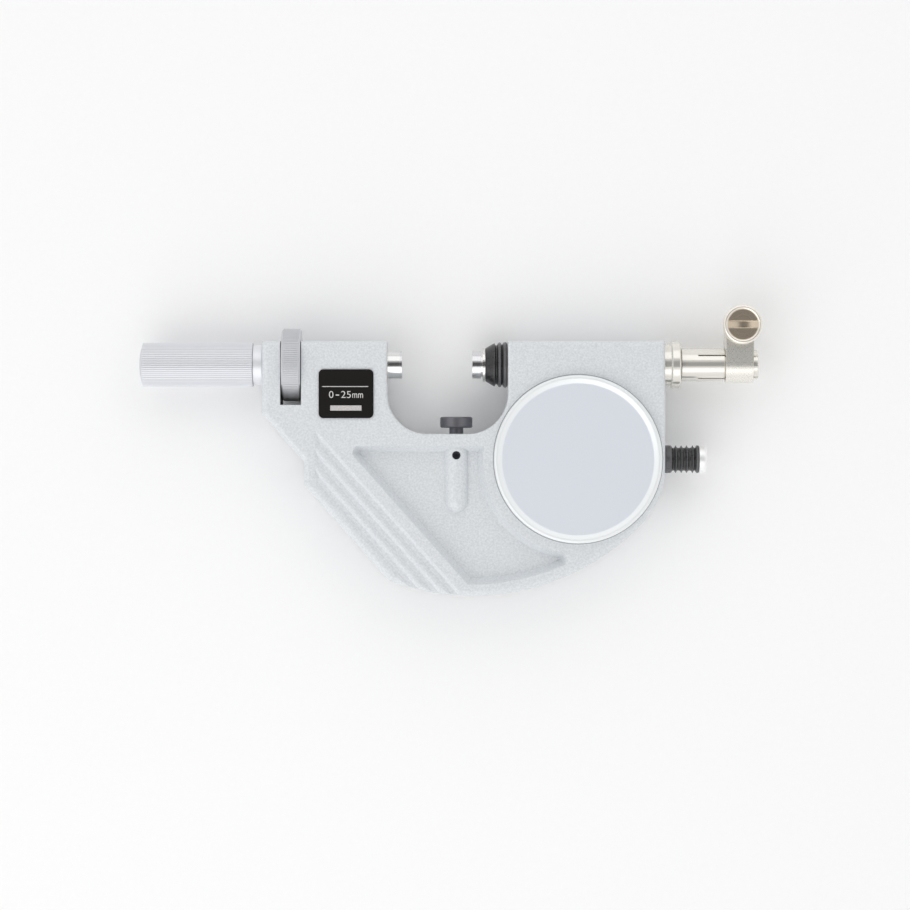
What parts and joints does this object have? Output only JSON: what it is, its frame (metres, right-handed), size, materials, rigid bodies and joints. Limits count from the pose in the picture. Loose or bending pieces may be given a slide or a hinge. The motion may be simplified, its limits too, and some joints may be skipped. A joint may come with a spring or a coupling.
{
  "type": "snap gauge",
  "caption": "Indicating snap gauge: cast C-frame with an adjustable spindle, a sprung retracting anvil, a work stop and a slit holder for an indicator stem.",
  "frame": {"origin": "centre of the round pad on the back, on its face", "axes": "+X along the measuring axis towards the stem holder, +Y from the grip to the measuring axis, +Z out of the front face"},
  "size_m": [0.2216, 0.1032, 0.0265],
  "materials": {
    "frame_paint": "pale grey pebbled enamel on a casting",
    "plate_black": "black anodised plate, satin",
    "cover_silver": "pale silver lacquer, satin",
    "ground_steel": "ground",
    "hard_metal": "lapped hard metal",
    "bush_bronze": "turned",
    "black_steel": "blackened steel",
    "satin_alloy": "satin chrome, fluted",
    "bright_plate": "warm bright nickel plate",
    "bellows_rubber": "black moulded rubber",
    "spring_steel": "drawn wire"
  },
  "bodies": {
    "frame": {"frame_casting": "frame_paint", "name_plate": "plate_black", "front_cover": "cover_silver", "cover_seal": "bellows_rubber", "spindle_bush": "bush_bronze", "spindle_key": "black_steel", "clamp_collet": "ground_steel", "front_bush": "bush_bronze", "rear_bush": "bush_bronze", "anvil_bellows": "bellows_rubber", "anvil_spring": "spring_steel", "lever_pivot": "ground_steel", "button_bellows": "bellows_rubber", "button_bush": "bush_bronze", "button_spring": "spring_steel", "stop_screw": "black_steel", "stem_holder": "bright_plate"},
    "spindle": {"spindle": "ground_steel", "spindle_tip": "hard_metal"},
    "ring": {"adjusting_ring": "satin_alloy"},
    "sleeve": {"clamp_sleeve": "satin_alloy"},
    "anvil": {"anvil_shaft": "ground_steel", "anvil_tip": "hard_metal", "bellows_ring": "bright_plate", "anvil_retainer": "black_steel"},
    "lever": {"lever": "ground_steel"},
    "button": {"button_rod": "ground_steel", "button_cap": "bright_plate", "button_clip": "black_steel"},
    "stop": {"stop_pin": "black_steel"},
    "clamp": {"clamp_block": "bright_plate"},
    "clamp_screw": {"clamp_screw": "bright_plate"}
  },
  "joints": [
    {"name": "ring_turn", "type": "hinge", "parent": "frame", "child": "ring", "pos_m": [-0.1018, 0.0337, 0.0135], "axis": [-1, 0, 0], "range_deg": [0, 9000]},
    {"name": "spindle_slide", "type": "slide", "parent": "frame", "child": "spindle", "axis": [1, 0, 0], "range_m": [0, 0.025]},
    {"name": "sleeve_turn", "type": "hinge", "parent": "frame", "child": "sleeve", "pos_m": [-0.135, 0.0337, 0.0135], "axis": [1, 0, 0], "range_deg": [-90, 0]},
    {"name": "anvil_slide", "type": "slide", "parent": "frame", "child": "anvil", "axis": [1, 0, 0], "range_m": [0, 0.002], "stiffness_N_per_m": 800, "springref_m": -0.006, "deforming": ["anvil_bellows", "anvil_spring"]},
    {"name": "lever_swing", "type": "hinge", "parent": "frame", "child": "lever", "pos_m": [0, 0.02, 0.0135], "axis": [0, 0, -1], "range_deg": [0, 11.46]},
    {"name": "button_press", "type": "slide", "parent": "frame", "child": "button", "axis": [-1, 0, 0], "range_m": [0, 0.004], "deforming": ["button_bellows", "button_spring"]},
    {"name": "stop_slide", "type": "slide", "parent": "frame", "child": "stop", "axis": [0, 1, 0], "range_m": [-0.002, 0.012]},
    {"name": "clamp_swivel", "type": "hinge", "parent": "frame", "child": "clamp", "pos_m": [0.0577, 0.0337, 0.0135], "axis": [1, 0, 0], "range_deg": [-90, 90]},
    {"name": "clamp_screw_turn", "type": "hinge", "parent": "clamp", "child": "clamp_screw", "pos_m": [0.0585, 0.0478, 0.0135], "axis": [0, 0, 1], "range_deg": [0, 360]}
  ],
  "couplings": [
    {"joint": "spindle_slide", "follows": "ring_turn", "m_per_rad": 0.00015915},
    {"joint": "lever_swing", "follows": "anvil_slide", "rad_per_m": 100},
    {"joint": "button_press", "follows": "anvil_slide", "ratio": 2}
  ]
}
